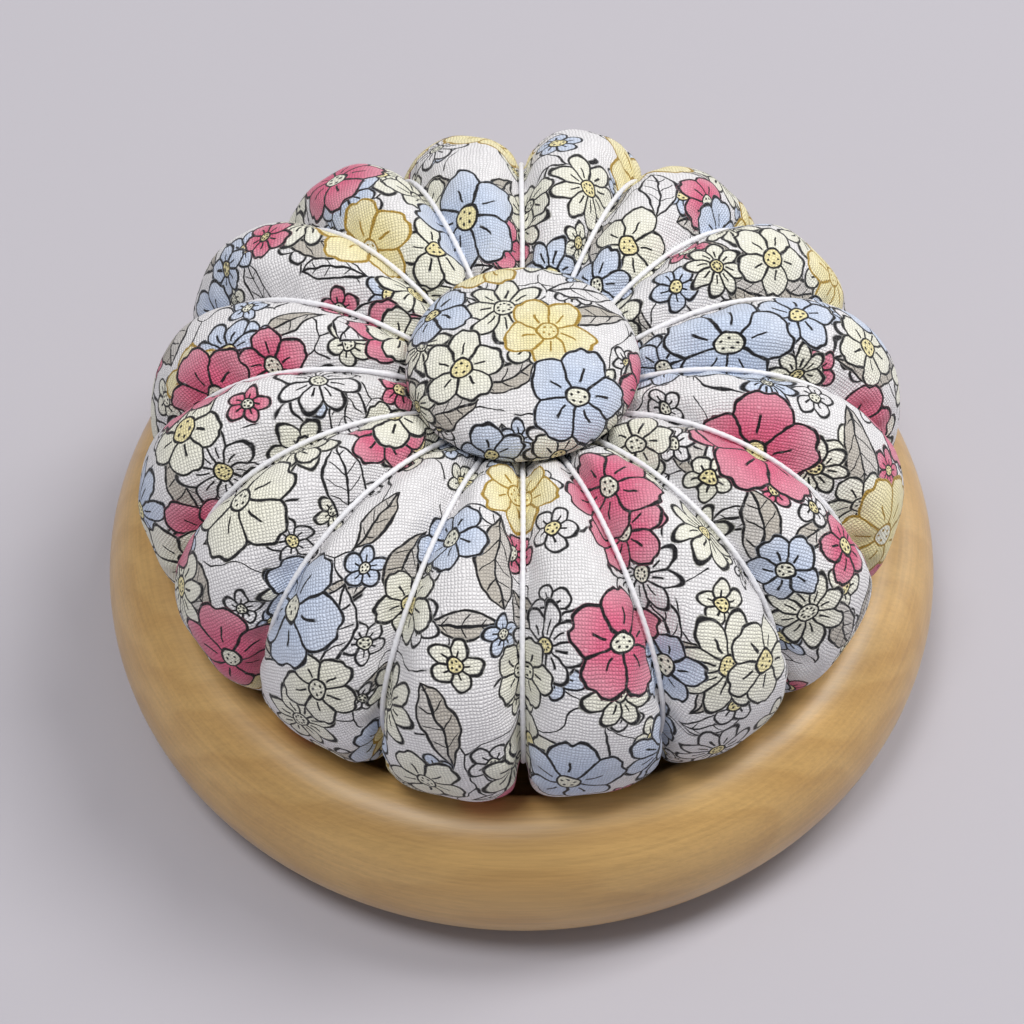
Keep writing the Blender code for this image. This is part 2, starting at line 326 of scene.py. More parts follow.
class Scatter(NodeGroup):
    """Scattered places for a printed motif, one in each cell, none touching the next."""

    name = "motif_scatter"
    inputs = {"Point": ORIGIN, "Cell": 12.0, "Reach": 5.0, "Jitter": 0.7, "Shift": ORIGIN}
    outputs = dict.fromkeys(("Along", "Aside", "Radius", "Present", "Tone", "Pick"), Kind.VALUE)
    smallest = 0.7
    room_used = 0.97
    least = 0.5

    def wire(self, board: Board, given: Sockets) -> Sockets:
        """Place in the motif, turned by a random angle, its radius, and two random numbers.

        The radius is the motif's reach, or less where the next motif is near; a motif
        left with under half its reach is dropped.

        Args:
            board: The group's tree.
            given: The group's inputs by name.

        Returns:
            The group's outputs by name.
        """
        share = board.math("DIVIDE", 1.0, given["Cell"])
        point = board.vector("ADD", board.scale(given["Point"], share), given["Shift"])
        nearest = board.cells("F1", point, given["Jitter"])
        room = board.cells("N_SPHERE_RADIUS", point, given["Jitter"])
        offset = board.vector("SUBTRACT", point, nearest.outputs["Position"])
        tone, pick, turn = board.split(nearest.outputs["Color"])
        values = {"Vector": board.scale(offset, given["Cell"]), "Angle": board.all(turn, TAU)}
        rotated = board.add("VectorRotate", values, rotation_type="Z_AXIS").outputs[0]
        along, aside, _ = board.split(rotated)
        wanted = board.all(given["Reach"], board.level(pick, self.smallest, 1.0))
        space = board.all(room.outputs["Radius"], given["Cell"], self.room_used)
        radius = board.math("MINIMUM", wanted, space)
        enough = board.math("GREATER_THAN", radius, board.all(given["Reach"], self.least))
        return {"Along": along, "Aside": aside, "Radius": radius, "Present": enough,
                "Tone": tone, "Pick": pick}


class Blossom(NodeGroup):
    """A flower of equal petals, each an ellipse with a notched tip, round a domed heart.

    The place is folded into one petal's sector, so all petals are drawn by one formula:
    the distance to an ellipse, cut by the sector's two sides. Places in a petal are shares
    of the flower's radius, and widths of lines are shares of the outline's."""

    name = "printed_blossom"
    inputs = {"Along": 0.0, "Aside": 0.0, "Radius": 5.0, "Present": 1.0, "Petals": 5.0,
              "Breadth": 0.4, "Notch": 0.0, "Heart": 0.2, "Line": 0.36}
    outputs = dict.fromkeys(("Cover", "Line", "Heart", "Depth"), Kind.VALUE)
    soft = 0.05
    petal_middle = 0.54
    petal_half = 0.46
    notch_width = 0.16
    thin = 0.3
    ring_line = 0.6
    seed_line = 0.75
    heart_over_seeds = 1.9
    vein_start = (0.28, 0.32)
    vein_end = (0.62, 0.56)

    def wire(self, board: Board, given: Sockets) -> Sockets:
        """Masks of the whole flower, of its lines and of its heart, and the place along a petal.

        Args:
            board: The group's tree.
            given: The group's inputs by name.

        Returns:
            The group's outputs by name.
        """
        radius = given["Radius"]
        far = board.length(given["Along"], given["Aside"])
        half = board.math("DIVIDE", math.pi, given["Petals"])
        turn = board.math("WRAP", board.math("ARCTAN2", given["Aside"], given["Along"]), half,
                          board.all(half, -1.0))
        along = board.all(far, board.math("COSINE", turn))
        aside = board.math("ABSOLUTE", board.all(far, board.math("SINE", turn)))
        depth, width = (board.math("DIVIDE", place, radius) for place in (along, aside))
        dent = board.all(given["Notch"], board.span(width, self.notch_width, 0.0))
        length = board.math("SUBTRACT", self.petal_half, dent)
        reach = board.length(
            board.math("DIVIDE", board.math("SUBTRACT", depth, self.petal_middle), length),
            board.math("DIVIDE", width, given["Breadth"]))
        rim = board.all(board.math("SUBTRACT", reach, 1.0), given["Breadth"], radius)
        side = board.math("SUBTRACT", board.all(aside, board.math("COSINE", half)),
                          board.all(along, board.math("SINE", half)))
        edge = board.math("MAXIMUM", rim, side)
        heart_edge = board.math("SUBTRACT", far, board.all(given["Heart"], radius))
        return self.masks(board, given, edge, heart_edge, aside, depth)

    def masks(self, board: Board, given: Sockets, edge: Socket, heart_edge: Socket,
              aside: Socket, depth: Socket) -> Sockets:
        """Turn the distances to petal and heart into masks, and draw veins and stamens.

        Args:
            board: The group's tree.
            given: The group's inputs by name.
            edge: Distance outside the petals.
            heart_edge: Distance outside the heart.
            aside: Distance from a petal's middle line.
            depth: Place along a petal, 1 at its tip.

        Returns:
            The group's outputs by name.
        """
        line = given["Line"]
        thin = board.all(line, self.thin)
        half_line = board.all(line, 0.5)
        petal, heart = (board.span(border, self.soft, -self.soft) for border in (edge, heart_edge))
        outline = board.span(board.math("ABSOLUTE", edge), board.math("ADD", half_line, self.soft),
                             board.math("SUBTRACT", half_line, self.soft))
        ring = board.span_in(line, board.math("ABSOLUTE", heart_edge), self.ring_line, self.thin)
        vein = board.all(board.span(aside, board.math("ADD", thin, self.soft), thin),
                         board.span(depth, *self.vein_end), board.span(depth, *self.vein_start))
        seed_ring = board.math("DIVIDE", given["Heart"], self.heart_over_seeds)
        seed_x = board.all(board.math("SUBTRACT", seed_ring, depth), given["Radius"])
        seed = board.length(seed_x, aside)
        seeds = board.all(board.span_in(line, seed, self.seed_line, self.thin), heart)
        petal_line = board.all(board.any(outline, vein), board.invert(heart))
        made = {"Cover": board.any(petal, heart, ring, outline),
                "Line": board.any(petal_line, ring, seeds), "Heart": heart}
        shown = {name: board.all(mask, given["Present"]) for name, mask in made.items()}
        return {**shown, "Depth": depth}


class Leaf(NodeGroup):
    """A pointed leaf: two parabolas meet at the tips, with a midrib and slanting veins.

    Widths and borders of lines are shares of the outline's."""

    name = "printed_leaf"
    inputs = {"Along": 0.0, "Aside": 0.0, "Radius": 5.0, "Present": 1.0, "Breadth": 0.42,
              "Line": 0.34}
    outputs = dict.fromkeys(("Cover", "Line", "Half"), Kind.VALUE)
    soft = 0.05
    half_soft = 0.06
    bend = 0.14
    lean = 0.3
    thin = 0.34
    outline = (-1.25, -0.85)
    vein_slant = 0.9
    vein_gap = 0.8
    vein_line = (1.3, 0.5)
    vein_end = (-1.0, -2.0)

    def wire(self, board: Board, given: Sockets) -> Sockets:
        """Masks of the leaf and of its lines, and which side of the midrib a place is on.

        Args:
            board: The group's tree.
            given: The group's inputs by name.

        Returns:
            The group's outputs by name.
        """
        bow = board.math("DIVIDE", given["Along"], given["Radius"])
        side = board.math("SUBTRACT", given["Aside"], board.all(bow, bow, given["Radius"], self.bend))
        aside = board.math("ABSOLUTE", side)
        belly = board.invert(board.all(bow, bow))
        half_width = board.all(belly, board.level(bow, 1.0, 1.0 + self.lean), given["Breadth"],
                               given["Radius"])
        edge = board.math("SUBTRACT", aside, half_width)
        line = given["Line"]
        thin = board.all(line, self.thin)
        inside = board.span(edge, self.soft, -self.soft)
        outline = board.all(inside, board.span_in(line, edge, *self.outline))
        midrib = board.span(aside, board.math("ADD", thin, self.soft), thin)
        slant = board.math("SUBTRACT", given["Along"], board.all(aside, self.vein_slant))
        comb = board.math("PINGPONG", slant, self.vein_gap)
        veins = board.all(board.span_in(thin, comb, *self.vein_line),
                          board.span_in(line, edge, *self.vein_end))
        lines = board.all(board.any(outline, midrib, veins), inside, given["Present"])
        return {"Cover": board.all(inside, given["Present"]), "Line": lines,
                "Half": board.span(side, -self.half_soft, self.half_soft)}


@dataclass(frozen=True)
class Layer:
    """One layer of the print: a motif scattered over the cloth, with sizes in millimetres."""

    cell: float
    reach: float
    breadth: float
    line: float
    shift: Point
    jitter: ClassVar[float] = 0.75
    wash_share: ClassVar[float] = 0.45

    @staticmethod
    def place_in(spot: Sockets) -> Sockets:
        """What every motif takes from its scattered place."""
        return {name: spot[name] for name in ("Along", "Aside", "Radius", "Present")}

    def draw(self, board: Board, spot: Sockets) -> tuple[Sockets, Socket, object]:
        """Draw the motif: its masks by name, its fill's colour and its lines' colour."""
        raise NotImplementedError

    def lay(self, board: Board, point: Socket, wash: Socket, colour: Socket,
            lines: Socket) -> tuple[Socket, Socket]:
        """Lay the motifs over what is there.

        Args:
            board: The print's tree.
            point: Place on the cloth.
            wash: Uneven strength of the ink.
            colour: Colour so far.
            lines: Lines so far.

        Returns:
            The colour, and where its lines are.
        """
        spot = Scatter().place(board, Point=point, Cell=self.cell, Reach=self.reach,
                               Jitter=self.jitter, Shift=self.shift)
        motif, fill, ink = self.draw(board, spot)
        cover, line = motif["Cover"], motif["Line"]
        colour = board.mix(cover, colour, board.mix(self.wash_share, fill, wash, "MULTIPLY"))
        return (board.mix(line, colour, ink),
                board.any(board.all(lines, board.invert(cover)), line))


@dataclass(frozen=True)
class FlowerLayer(Layer):
    """A layer of flowers; each tone is used from its share of them on."""

    petals: float
    notch: float
    heart: float
    tones: tuple[tuple[float, Ink], ...]
    yellow_hearts: ClassVar[float] = 0.5
    fade_along: ClassVar[Span] = (0.25, 0.95)
    fade: ClassVar[float] = 0.22

    def draw(self, board: Board, spot: Sockets) -> tuple[Sockets, Socket, object]:
        """Draw a flower that fades towards its petals' tips.

        Args:
            board: The print's tree.
            spot: The flower's scattered place.

        Returns:
            The flower's masks by name, the colour of its fill and that of its lines.
        """
        flower = Blossom().place(board, **self.place_in(spot), Petals=self.petals,
                                 Breadth=self.breadth, Notch=self.notch, Heart=self.heart,
                                 Line=self.line)
        tint, ink = self.tones[0][1], Ink.LINE
        for start, tone in self.tones[1:]:
            chosen = board.math("GREATER_THAN", spot["Tone"], start)
            tint = board.mix(chosen, tint, tone)
            ink = board.mix(chosen, ink, Ink.OCHRE_LINE if tone is Ink.YELLOW else Ink.LINE)
        yellow = board.math("GREATER_THAN", spot["Pick"], self.yellow_hearts)
        fade = board.all(board.span(flower["Depth"], *self.fade_along), self.fade)
        petal = board.mix(fade, tint, Ink.GROUND)
        fill = board.mix(flower["Heart"], petal, board.mix(yellow, Ink.CREAM, Ink.YELLOW))
        return flower, fill, ink


@dataclass(frozen=True)
class LeafLayer(Layer):
    """A layer of leaves, some of them bare."""

    jitter: ClassVar[float] = 0.8
    wash_share: ClassVar[float] = 0.5
    bare_from: ClassVar[float] = 0.62
    pale_half: ClassVar[float] = 0.35

    def draw(self, board: Board, spot: Sockets) -> tuple[Sockets, Socket, object]:
        """Draw a leaf that is paler on one side of its midrib.

        Args:
            board: The print's tree.
            spot: The leaf's scattered place.

        Returns:
            The leaf's masks by name, the colour of its fill and that of its lines.
        """
        leaf = Leaf().place(board, **self.place_in(spot), Breadth=self.breadth, Line=self.line)
        bare = board.math("GREATER_THAN", spot["Tone"], self.bare_from)
        tint = board.mix(bare, Ink.STONE, Ink.GROUND)
        fill = board.mix(board.all(leaf["Half"], self.pale_half), tint, Ink.GROUND)
        return leaf, fill, Ink.LINE


class Floral(NodeGroup):
    """A ditsy floral print: leaves and stems at the back, then small, medium and large flowers."""

    name = "ditsy_floral"
    inputs = {"Point": ORIGIN}
    outputs = {"Colour": Kind.COLOUR, "Line": Kind.VALUE}
    sway_scale = 0.33
    sway_reach = 1.5
    wash_scale = 1.1
    wash_detail = 3.0
    wash_light = (0.75, 1.25)
    stem_cell = 8.0
    stem_line = 0.20
    stem_soft = 0.04
    stem_detail = 1.0
    stem_bend_scale = 0.14
    stem_bend_reach = 9.0
    stem_break_scale = 0.21
    stem_break = (0.44, 0.47)
    layers: tuple[Layer, ...] = (
        LeafLayer(cell=8.6, reach=5.4, breadth=0.38, line=0.23, shift=(3.1, 8.7, 0.0)),
        FlowerLayer(cell=6.4, reach=2.6, breadth=0.36, line=0.21, shift=(5.7, 1.9, 0.0),
                    petals=5.0, notch=0.0, heart=0.30, tones=(
                        (0.0, Ink.GROUND), (0.35, Ink.BLUE), (0.6, Ink.PINK), (0.82, Ink.CREAM))),
        LeafLayer(cell=11.4, reach=6.4, breadth=0.44, line=0.25, shift=(17.3, 2.2, 0.0)),
        FlowerLayer(cell=11.0, reach=4.9, breadth=0.25, line=0.22, shift=(9.4, 4.4, 0.0),
                    petals=8.0, notch=0.0, heart=0.22, tones=(
                        (0.0, Ink.CREAM), (0.6, Ink.GROUND), (0.85, Ink.BLUE))),
        FlowerLayer(cell=11.5, reach=4.6, breadth=0.40, line=0.24, shift=(1.3, 6.1, 0.0),
                    petals=5.0, notch=0.05, heart=0.24, tones=(
                        (0.0, Ink.PINK), (0.25, Ink.YELLOW), (0.42, Ink.CREAM), (0.72, Ink.BLUE))),
        FlowerLayer(cell=14.5, reach=6.8, breadth=0.42, line=0.27, shift=(2.6, 11.2, 0.0),
                    petals=5.0, notch=0.07, heart=0.20, tones=(
                        (0.0, Ink.BLUE), (0.30, Ink.PINK), (0.45, Ink.YELLOW), (0.78, Ink.CREAM))),
    )

    def wire(self, board: Board, given: Sockets) -> Sockets:
        """Colour of the print, and where its lines are.

        Args:
            board: The group's tree.
            given: The group's inputs by name.

        Returns:
            The group's outputs by name.
        """
        point = board.sway(given["Point"], self.sway_scale, self.sway_reach)
        wash = board.level(board.noise(point, self.wash_scale, self.wash_detail), *self.wash_light)
        colour, lines = self.stems(board, point)
        for layer in self.layers:
            colour, lines = layer.lay(board, point, wash, colour, lines)
        return {"Colour": colour, "Line": lines}

    def stems(self, board: Board, point: Socket) -> tuple[Socket, Socket]:
        """Thin winding stems: the swayed borders between scattered cells, broken here and there.

        Args:
            board: The group's tree.
            point: Place on the cloth.

        Returns:
            The colour, and where its lines are.
        """
        bent = board.sway(point, self.stem_bend_scale, self.stem_bend_reach, self.stem_detail)
        border = board.cells("DISTANCE_TO_EDGE", board.scale(bent, 1.0 / self.stem_cell))
        away = board.all(border.outputs["Distance"], self.stem_cell)
        breaks = board.noise(point, self.stem_break_scale, self.stem_detail)
        half = self.stem_line / 2
        line = board.all(board.span(away, half + self.stem_soft, half - self.stem_soft),
                         board.span(breaks, *self.stem_break))
        return board.mix(line, Ink.GROUND, Ink.LINE), line


class TurnedGrain(NodeGroup):
    """Grain of a turned plank: growth bands cut by the turned form, with fine pores along them."""

    name = "turned_grain"
    inputs = {"Point": ORIGIN, "Band": 4.0}
    outputs = dict.fromkeys(("Band", "Fibre", "Cloud", "Ring"), Kind.VALUE)
    plank_stretch = (0.06, 1.0, 1.0)
    drift_scale = 0.10
    drift_reach = 26.0
    band_slant = 0.55
    band_rise = (0.0, 0.7)
    band_fall = (1.0, 0.75)
    fibre_stretch = (0.10, 3.4, 3.4)
    fibre_detail = 5.0
    fibre_rough = 0.66
    cloud_scale = 0.12
    ring_scale = 2.4
    ring_detail = 4.0
    ring_rough = 0.62
    ring_change = 1.3

    def wire(self, board: Board, given: Sockets) -> Sockets:
        """Growth bands, fibre streaks, slow clouds and the rings a gouge leaves, each from 0 to 1.

        The rings are noise of radius and height that changes a little with direction.

        Args:
            board: The group's tree.
            given: The group's inputs by name.

        Returns:
            The group's outputs by name.
        """
        stretch = board.vector("MULTIPLY", given["Point"], self.plank_stretch)
        drift = board.all(board.noise(stretch, self.drift_scale), self.drift_reach)
        x, y, z = board.split(given["Point"])
        slanted = board.math("ADD", y, board.all(z, self.band_slant))
        across = board.math("ADD", slanted, drift)
        saw = board.math("FRACT", board.math("DIVIDE", across, given["Band"]))
        band = board.all(board.span(saw, *self.band_rise), board.span(saw, *self.band_fall))
        along = board.vector("MULTIPLY", given["Point"], self.fibre_stretch)
        fibre = board.noise(along, 1.0, self.fibre_detail, self.fibre_rough)
        far = board.length(x, y)
        east, north = (board.math("DIVIDE", board.all(side, self.ring_change), far) for side in (x, y))
        values = {"Vector": board.join(far, z, east), "W": north, "Scale": self.ring_scale,
                  "Detail": self.ring_detail, "Roughness": self.ring_rough}
        ring = board.add("TexNoise", values, noise_dimensions="4D")
        return {"Band": band, "Fibre": fibre, "Cloud": board.noise(stretch, self.cloud_scale),
                "Ring": ring.outputs[0]}


class Finish:
    """A material made of nodes round one Principled BSDF, some of whose inputs are constants."""

    name: str
    constants: ClassVar[dict[str, float]] = {}

    def material(self) -> bpy.types.Material:
        """The finish's material, made at its first use.

        Returns:
            The shared material.
        """
        if self.name in bpy.data.materials:
            return bpy.data.materials[self.name]
        made = bpy.data.materials.new(self.name)
        made.use_nodes = True
        board = Board(made.node_tree)
        shader = made.node_tree.nodes["Principled BSDF"]
        board.feed(shader, self.constants)
        self.wire(board, shader)
        return made

    def wire(self, board: Board, shader: bpy.types.Node) -> None:
        """Wire the finish into its shader."""
        raise NotImplementedError

    @staticmethod
    def millimetres(board: Board, source: Coordinates) -> Socket:
        """A piece's coordinates, in millimetres."""
        return board.scale(board.add("TexCoord", {}).outputs[source.value], 1.0 / MM)

    @staticmethod
    def bump(board: Board, shader: bpy.types.Node, height: Socket, depth: float) -> None:
        """Feed a height from 0 to 1, which stands for depth in metres, to the shader's normal."""
        node = board.add("Bump", {"Strength": 1.0, "Distance": depth, "Height": height})
        board.put(shader.inputs["Normal"], node.outputs[0])


@dataclass(frozen=True)
class CottonFinish(Finish):
    """Printed plain-weave cotton, mapped by the cloth's own flat coordinates."""

    name: str = "printed_cotton_looks"
    pitch: float = 0.29
    depth: float = 0.00009
    # painted light and shade of the weave: its hollows darker, its raised threads lighter
    weave_painted_shade: Span = (0.87, 1.11)
    slub_light: Span = (0.90, 1.10)
    worn_slubs: Span = (0.55, 0.80)
    worn: float = 0.14
    roughness: Span = (0.88, 0.76)
    constants: ClassVar[dict[str, float]] = {
        "Specular IOR Level": 0.25, "Sheen Weight": 0.12, "Sheen Roughness": 0.5}

    def wire(self, board: Board, shader: bpy.types.Node) -> None:
        """Print, threads that show through it, weave in relief with painted light and shade, and a soft
        sheen.

        Args:
            board: The material's tree.
            shader: Its Principled BSDF.
        """
        point = self.millimetres(board, Coordinates.FLAT)
        cloth_print = Floral().place(board, Point=point)
        weave = Weave().place(board, Point=point, Pitch=self.pitch)
        # Painted light and shade: the weave's height, also its bump, darkens the hollows and lightens
        # the raised threads, times each thread's slub tone.
        light = board.all(board.level(weave["Height"], *self.weave_painted_shade),
                          board.level(weave["Shade"], *self.slub_light))
        worn = board.all(board.span(weave["Shade"], *self.worn_slubs), self.worn)
        colour = board.mix(worn, cloth_print["Colour"], Ink.GROUND)
        board.feed(shader, {"Base Color": board.mix(1.0, colour, light, "MULTIPLY"),
                            "Roughness": board.level(cloth_print["Line"], *self.roughness)})
        self.bump(board, shader, weave["Height"], self.depth)


@dataclass(frozen=True)
class WoodFinish(Finish):
    """Pale turned hardwood under a satin lacquer."""

    name: str = "turned_wood_looks"
    pale: Colour = srgb(204, 165, 102)
    deep: Colour = srgb(181, 139, 77)
    band: float = 5.5
    band_share: float = 0.18
    cloud_share: float = 0.6
    deepening: Span = (0.1, 0.8)
    fibres: Span = (0.30, 0.66)
    fibre_light: Span = (0.845, 0.955)
    rings: Span = (0.32, 0.68)
    ring_light: float = 0.13
    roughness: Span = (0.34, 0.52)
    depth: float = 0.00005
    constants: ClassVar[dict[str, float]] = {
        "Specular IOR Level": 0.3, "Coat Weight": 0.8, "Coat Roughness": 0.4}

    def wire(self, board: Board, shader: bpy.types.Node) -> None:
        """Growth bands, fibres, turning marks and clouds of colour under the lacquer.

        Args:
            board: The material's tree.
            shader: Its Principled BSDF.
        """
        point = self.millimetres(board, Coordinates.PLACE)
        grain = TurnedGrain().place(board, Point=point, Band=self.band)
        cloud = board.all(grain["Cloud"], self.cloud_share)
        tone = board.math("MULTIPLY_ADD", grain["Band"], self.band_share, cloud)
        colour = board.mix(board.span(tone, *self.deepening), self.pale, self.deep)
        fibre = board.level(board.span(grain["Fibre"], *self.fibres), *self.fibre_light)
        ring = board.span(grain["Ring"], *self.rings)
        streak = board.math("MULTIPLY_ADD", ring, self.ring_light, fibre)
        board.feed(shader, {"Base Color": board.mix(1.0, colour, streak, "MULTIPLY"),
                            "Roughness": board.level(grain["Fibre"], *self.roughness)})
        self.bump(board, shader, board.all(grain["Fibre"], grain["Ring"]), self.depth)


@dataclass(frozen=True)
class MottledFinish(Finish):
    """A stuff whose colour, roughness and skin follow one cloudy noise."""

    name: str
    low: Colour
    high: Colour
    roughness: Span
    cloud_scale: float
    detail: float = 2.0
    rough: float = 0.5
    source: Coordinates = Coordinates.PLACE
    stretch: Point = (1.0, 1.0, 1.0)
    depth: float = 0.0
    constants: dict[str, float] = field(default_factory=dict)

    def wire(self, board: Board, shader: bpy.types.Node) -> None:
        """Two colours and two roughnesses mixed by the noise, which is also the relief if any.

        Args:
            board: The material's tree.
            shader: Its Principled BSDF.
        """
        point = board.vector("MULTIPLY", self.millimetres(board, self.source), self.stretch)
        cloud = board.noise(point, self.cloud_scale, self.detail, self.rough)
        board.feed(shader, {"Base Color": board.mix(cloud, self.low, self.high),
                            "Roughness": board.level(cloud, *self.roughness)})
        if self.depth:
            self.bump(board, shader, cloud, self.depth)


THREAD = MottledFinish("white_thread_looks", srgb(222, 222, 228), srgb(250, 250, 252), (0.42, 0.62),
                       cloud_scale=6.0, detail=3.0, rough=0.6, source=Coordinates.FLAT,
                       stretch=(0.6, 0.05, 0.6), depth=0.00003, constants={"Sheen Weight": 0.2})
INNER_THREAD = replace(THREAD, name="white_thread_inside_looks", source=Coordinates.PLACE)
STEEL = MottledFinish("button_steel_looks", srgb(168, 170, 173), srgb(208, 209, 211), (0.22, 0.47),
                      cloud_scale=1.5, detail=4.0, stretch=(4.0, 0.4, 0.4), constants={"Metallic": 1.0})
GLUE = MottledFinish("hot_glue_looks", srgb(214, 196, 150), srgb(236, 228, 204), (0.28, 0.48),
                     cloud_scale=0.35, detail=3.0, depth=0.0002)


@dataclass(frozen=True)
class FloorFinish(Finish):
    """Pale matt card."""

    name: str = "studio_floor"
    shade: Colour = srgb(184, 181, 188)
    cloud_scale: float = 0.01
    cloud_light: Span = (0.98, 1.02)
    roughness: Span = (0.75, 0.85)

    def wire(self, board: Board, shader: bpy.types.Node) -> None:
        """A plain colour with the faintest cloud in it.

        Args:
            board: The material's tree.
            shader: Its Principled BSDF.
        """
        cloud = board.noise(self.millimetres(board, Coordinates.PLACE), self.cloud_scale)
        light = board.level(cloud, *self.cloud_light)
        board.feed(shader, {"Base Color": board.mix(1.0, self.shade, light, "MULTIPLY"),
                            "Roughness": board.level(cloud, *self.roughness)})


def circle(count: int) -> np.ndarray:
    """Angles that go once round in equal steps."""
    return np.linspace(0, TAU, count, endpoint=False)


def turned(radius: np.ndarray, turn: np.ndarray, level: np.ndarray | float) -> np.ndarray:
    """Points, by 3, at distances from the axis, angles round it and heights."""
    return np.stack(np.broadcast_arrays(radius * np.cos(turn), radius * np.sin(turn), level), -1)


def ripple(place: np.ndarray, waves: Waves) -> np.ndarray:
    """Sum of sine waves, each given by its rate, its start and its size."""
    return sum(size * np.sin(rate * place + start) for rate, start, size in waves)


def add_object(name: str, data: bpy.types.ID) -> bpy.types.Object:
    """Make an object and link it to the scene.

    Args:
        name: Its name.
        data: Its mesh, light or camera.

    Returns:
        The object.
    """
    made = bpy.data.objects.new(name, data)
    bpy.context.scene.collection.objects.link(made)
    return made


def grid_piece(name: str, points: np.ndarray, flat: np.ndarray, close_rows: bool = False,
               cap_first: bool = False, cap_last: bool = False) -> bpy.types.Object:
    """Make a mesh from a grid of points that closes on itself round its columns.

    Args:
        name: Name of the piece.
        points: Rows by columns by 3; columns go anticlockwise seen from outside the first row.
        flat: Rows by columns by 2, the cloth's flat coordinates.
        close_rows: Whether the last row joins the first.
        cap_first: Whether the first row is closed by a fan to its middle.
        cap_last: Whether the last row is closed by a fan to its middle.

    Returns:
        The piece, linked to the scene.
    """
    rows, columns = points.shape[:2]
    index = np.arange(rows * columns).reshape(rows, columns)
    beside = np.roll(index, -1, 1)
    near = slice(None) if close_rows else slice(None, -1)
    far, far_beside = np.roll(index, -1, 0)[near], np.roll(beside, -1, 0)[near]
    quads = np.stack([index[near], far, far_beside, beside[near]], -1).reshape(-1, 4)
    vertices, coords, faces = points.reshape(-1, 3), flat.reshape(-1, 2), quads.tolist()
    for wanted, row, fan in ((cap_first, 0, (index, beside)), (cap_last, -1, (beside, index))):
        if wanted:
            middle = np.full(columns, len(vertices))
            vertices = np.vstack([vertices, points[row].mean(0)])
            coords = np.vstack([coords, flat[row].mean(0)])
            faces += np.stack([middle, fan[0][row], fan[1][row]], -1).tolist()
    mesh = bpy.data.meshes.new(name)
    mesh.from_pydata(vertices.tolist(), [], faces)
    loops = np.empty(len(mesh.loops), np.int32)
    mesh.loops.foreach_get("vertex_index", loops)
    layer = mesh.uv_layers.new(name="flat_cloth")
    layer.data.foreach_set("uv", coords[loops].astype(np.float32).ravel())
    mesh.shade_smooth()
    return add_object(name, mesh)


def outward(points: np.ndarray) -> np.ndarray:
    """Unit normals of a grid that closes on itself both ways, from central differences.

    Args:
        points: Rows by columns by 3.

    Returns:
        Rows by columns by 3.
    """
    round_column = np.roll(points, -1, 1) - np.roll(points, 1, 1)
    along_row = np.roll(points, -1, 0) - np.roll(points, 1, 0)
    normal = np.cross(along_row, round_column)
    return normal / np.maximum(np.linalg.norm(normal, axis=-1, keepdims=True), TINY)


def dress(piece: bpy.types.Object, finish: Finish, slot: str, *nodes: str) -> None:
    """Give a piece its finish, and say where it rides and what it stands for.

    Args:
        piece: The piece.
        finish: Its finish.
        slot: Not used.
        *nodes: Solids that the piece stands for.
    """
    piece.data.materials.clear()
    piece.data.materials.append(finish.material())
    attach(piece, BODY)
    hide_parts(*nodes)
    LOG.info("%s: %d faces, stands for %s", piece.name, len(piece.data.polygons), ", ".join(nodes))


